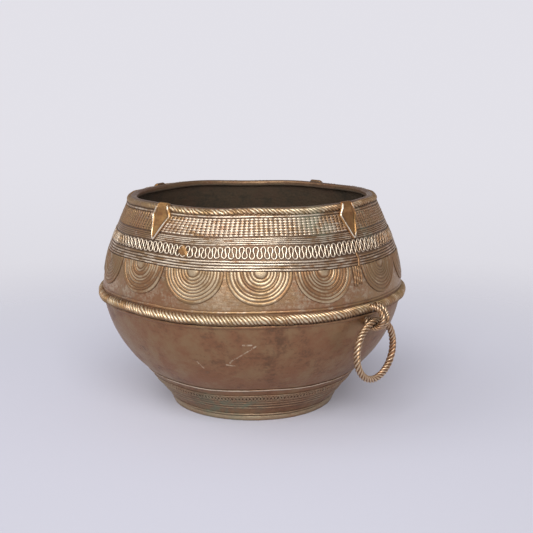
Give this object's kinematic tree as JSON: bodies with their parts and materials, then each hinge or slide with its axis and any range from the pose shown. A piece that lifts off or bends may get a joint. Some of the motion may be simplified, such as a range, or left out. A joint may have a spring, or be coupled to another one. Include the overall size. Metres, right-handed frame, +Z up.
{
  "type": "cast brass bowl",
  "caption": "Round-bellied cast brass bowl with thread-work ornament, a low foot, a rope rim and a twisted ring that swings from a staple on its shoulder.",
  "frame": {"origin": "on the bowl's axis, at the level of the surface it stands on", "axes": "+Z up along the bowl's axis; +X out through the staple and its ring"},
  "size_m": [0.1568, 0.15, 0.1028],
  "materials": {
    "bowl_wall": "aged satin cast brass with a reddish brown skin",
    "wax_thread": "rubbed cast thread, bright on the crests and dark between",
    "twisted_rope": "rubbed twisted rope, bright on the crests",
    "tab_plate": "smooth ochre brass plate"
  },
  "bodies": {
    "bowl": {"bowl_shell": "bowl_wall", "foot_rim": "bowl_wall", "foot_wire": "wax_thread", "foot_thread_1": "wax_thread", "foot_thread_2": "wax_thread", "foot_thread_3": "wax_thread", "foot_braid": "wax_thread", "foot_band_wire": "wax_thread", "shoulder_wire_lower": "wax_thread", "shoulder_rope": "twisted_rope", "shoulder_wire_upper": "wax_thread", "scallop_01": "wax_thread", "scallop_02": "wax_thread", "scallop_03": "wax_thread", "scallop_04": "wax_thread", "scallop_05": "wax_thread", "scallop_06": "wax_thread", "scallop_07": "wax_thread", "scallop_08": "wax_thread", "scallop_09": "wax_thread", "scallop_10": "wax_thread", "scallop_11": "wax_thread", "scallop_12": "wax_thread", "scallop_13": "wax_thread", "scallop_14": "wax_thread", "scallop_15": "wax_thread", "band_wire_1": "wax_thread", "band_wire_2": "wax_thread", "band_wire_3": "wax_thread", "band_wire_4": "wax_thread", "meander_wire": "wax_thread", "neck_wire_1": "wax_thread", "neck_wire_2": "wax_thread", "neck_wire_3": "wax_thread", "neck_wire_4": "wax_thread", "lattice_wire_1": "wax_thread", "lattice_wire_2": "wax_thread", "lattice_wire_3": "wax_thread", "lattice_wire_4": "wax_thread", "lattice_wire_5": "wax_thread", "lattice_wire_6": "wax_thread", "lattice_wire_7": "wax_thread", "lattice_ribs": "wax_thread", "rim_wire": "wax_thread", "rim_rope": "twisted_rope", "rim_tab_1": "tab_plate", "rim_tab_2": "tab_plate", "rim_tab_3": "tab_plate", "rim_tab_4": "tab_plate", "repair_patch": "tab_plate", "thread_strip": "tab_plate", "staple_strand_near": "twisted_rope", "staple_strand_far": "twisted_rope"},
    "ring": {"swing_ring": "twisted_rope"}
  },
  "joints": [
    {"name": "ring_swing", "type": "hinge", "parent": "bowl", "child": "ring", "pos_m": [0.07559, 0, 0.05075], "axis": [0, -1, 0], "range_deg": [-28, 175]}
  ]
}
